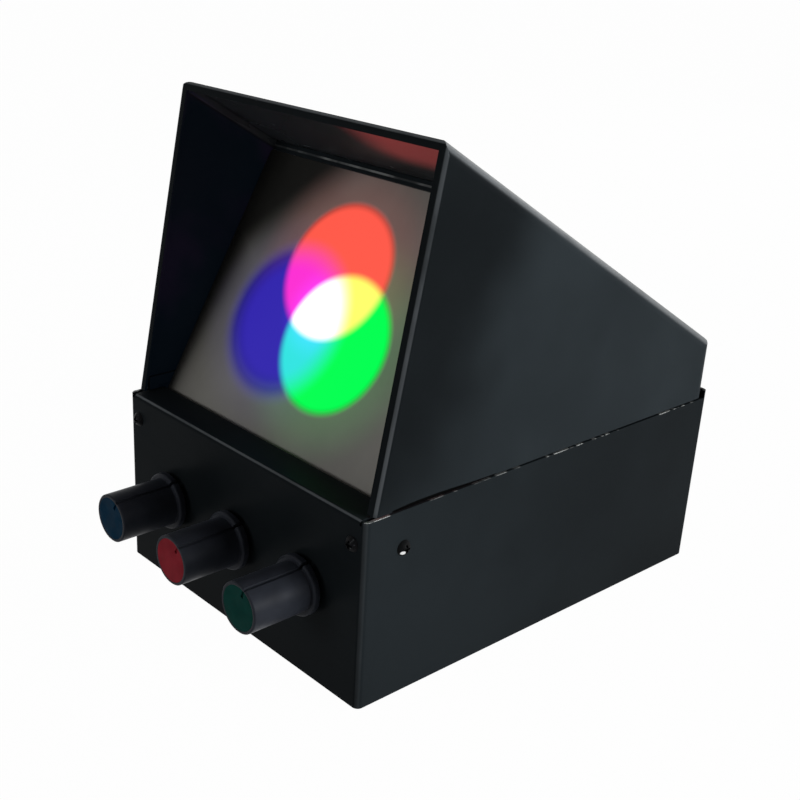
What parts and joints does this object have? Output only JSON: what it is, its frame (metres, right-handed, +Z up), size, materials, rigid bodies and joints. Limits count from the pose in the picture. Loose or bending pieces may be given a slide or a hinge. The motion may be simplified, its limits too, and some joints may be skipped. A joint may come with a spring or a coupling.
{
  "type": "colour mixing apparatus",
  "caption": "Metal box with a shaded slanted screen, lit from behind by red, green and blue lamps whose discs overlap and mix, each set by its own front knob.",
  "frame": {"origin": "centre of the bounding box, on the surface that the rubber feet rest on", "axes": "+X to the right as seen from the front, +Y from the front panel to the rear wall, +Z up"},
  "size_m": [0.1234, 0.189, 0.1649],
  "materials": {
    "coated_steel": "satin powder coat",
    "foot_rubber": "matte",
    "screen_sheet": "frosted",
    "bracket_metal": "satin",
    "tube_metal": "black anodised",
    "lens_glass": "clear",
    "lamp_board_metal": "white solder mask",
    "red_emitter": "clear dome",
    "green_emitter": "clear dome",
    "blue_emitter": "clear dome",
    "sink_metal": "black anodised",
    "board_resin": "green solder mask",
    "part_resin": "moulded",
    "capacitor_sleeve": "sleeve",
    "terminal_plastic": "moulded",
    "zinc_steel": "zinc plated",
    "control_metal": "plated",
    "knob_plastic": "satin",
    "blue_cap": "satin",
    "red_cap": "satin",
    "green_cap": "satin",
    "switch_plastic": "satin",
    "black_screw": "black oxide"
  },
  "bodies": {
    "instrument": {"base_shell": "coated_steel", "bottom_plate": "coated_steel", "rubber_feet": "foot_rubber", "hood_shell": "coated_steel", "screen": "screen_sheet", "screen_top_rail": "coated_steel", "screen_bottom_rail": "coated_steel", "lamp_bracket": "bracket_metal", "red_lamp_tube": "tube_metal", "green_lamp_tube": "tube_metal", "blue_lamp_tube": "tube_metal", "red_lens": "lens_glass", "green_lens": "lens_glass", "blue_lens": "lens_glass", "red_lens_ring": "tube_metal", "green_lens_ring": "tube_metal", "blue_lens_ring": "tube_metal", "red_lamp_board": "lamp_board_metal", "green_lamp_board": "lamp_board_metal", "blue_lamp_board": "lamp_board_metal", "red_emitter": "red_emitter", "green_emitter": "green_emitter", "blue_emitter": "blue_emitter", "red_heat_sink": "sink_metal", "green_heat_sink": "sink_metal", "blue_heat_sink": "sink_metal", "driver_board": "board_resin", "board_spacers": "zinc_steel", "driver_transistors": "part_resin", "driver_capacitors": "capacitor_sleeve", "driver_chip": "part_resin", "terminal_blocks": "terminal_plastic", "blue_control": "control_metal", "red_control": "control_metal", "green_control": "control_metal", "control_washers": "zinc_steel", "control_nuts": "zinc_steel", "switch_body": "switch_plastic", "power_inlet": "switch_plastic", "inlet_nut": "zinc_steel", "front_screws": "black_screw", "side_screws": "black_screw", "rear_screws": "black_screw", "bottom_screws": "black_screw", "bracket_screws": "zinc_steel", "board_screws": "zinc_steel"},
    "blue_knob_turning": {"blue_shaft": "zinc_steel", "blue_knob": "knob_plastic", "blue_cap": "blue_cap"},
    "red_knob_turning": {"red_shaft": "zinc_steel", "red_knob": "knob_plastic", "red_cap": "red_cap"},
    "green_knob_turning": {"green_shaft": "zinc_steel", "green_knob": "knob_plastic", "green_cap": "green_cap"},
    "rocker_tipping": {"switch_rocker": "switch_plastic"}
  },
  "joints": [
    {"name": "blue_knob_turn", "type": "hinge", "parent": "instrument", "child": "blue_knob_turning", "pos_m": [-0.03435, -0.08232, 0.0333], "axis": [0, 1, 0], "range_deg": [-178, 122]},
    {"name": "red_knob_turn", "type": "hinge", "parent": "instrument", "child": "red_knob_turning", "pos_m": [0, -0.08232, 0.0333], "axis": [0, 1, 0], "range_deg": [-185, 115]},
    {"name": "green_knob_turn", "type": "hinge", "parent": "instrument", "child": "green_knob_turning", "pos_m": [0.03435, -0.08232, 0.0333], "axis": [0, 1, 0], "range_deg": [-172, 128]},
    {"name": "power_rocker", "type": "hinge", "parent": "instrument", "child": "rocker_tipping", "pos_m": [0.036, 0.0889, 0.032], "axis": [-1, 0, 0], "range_deg": [0, 24]}
  ]
}
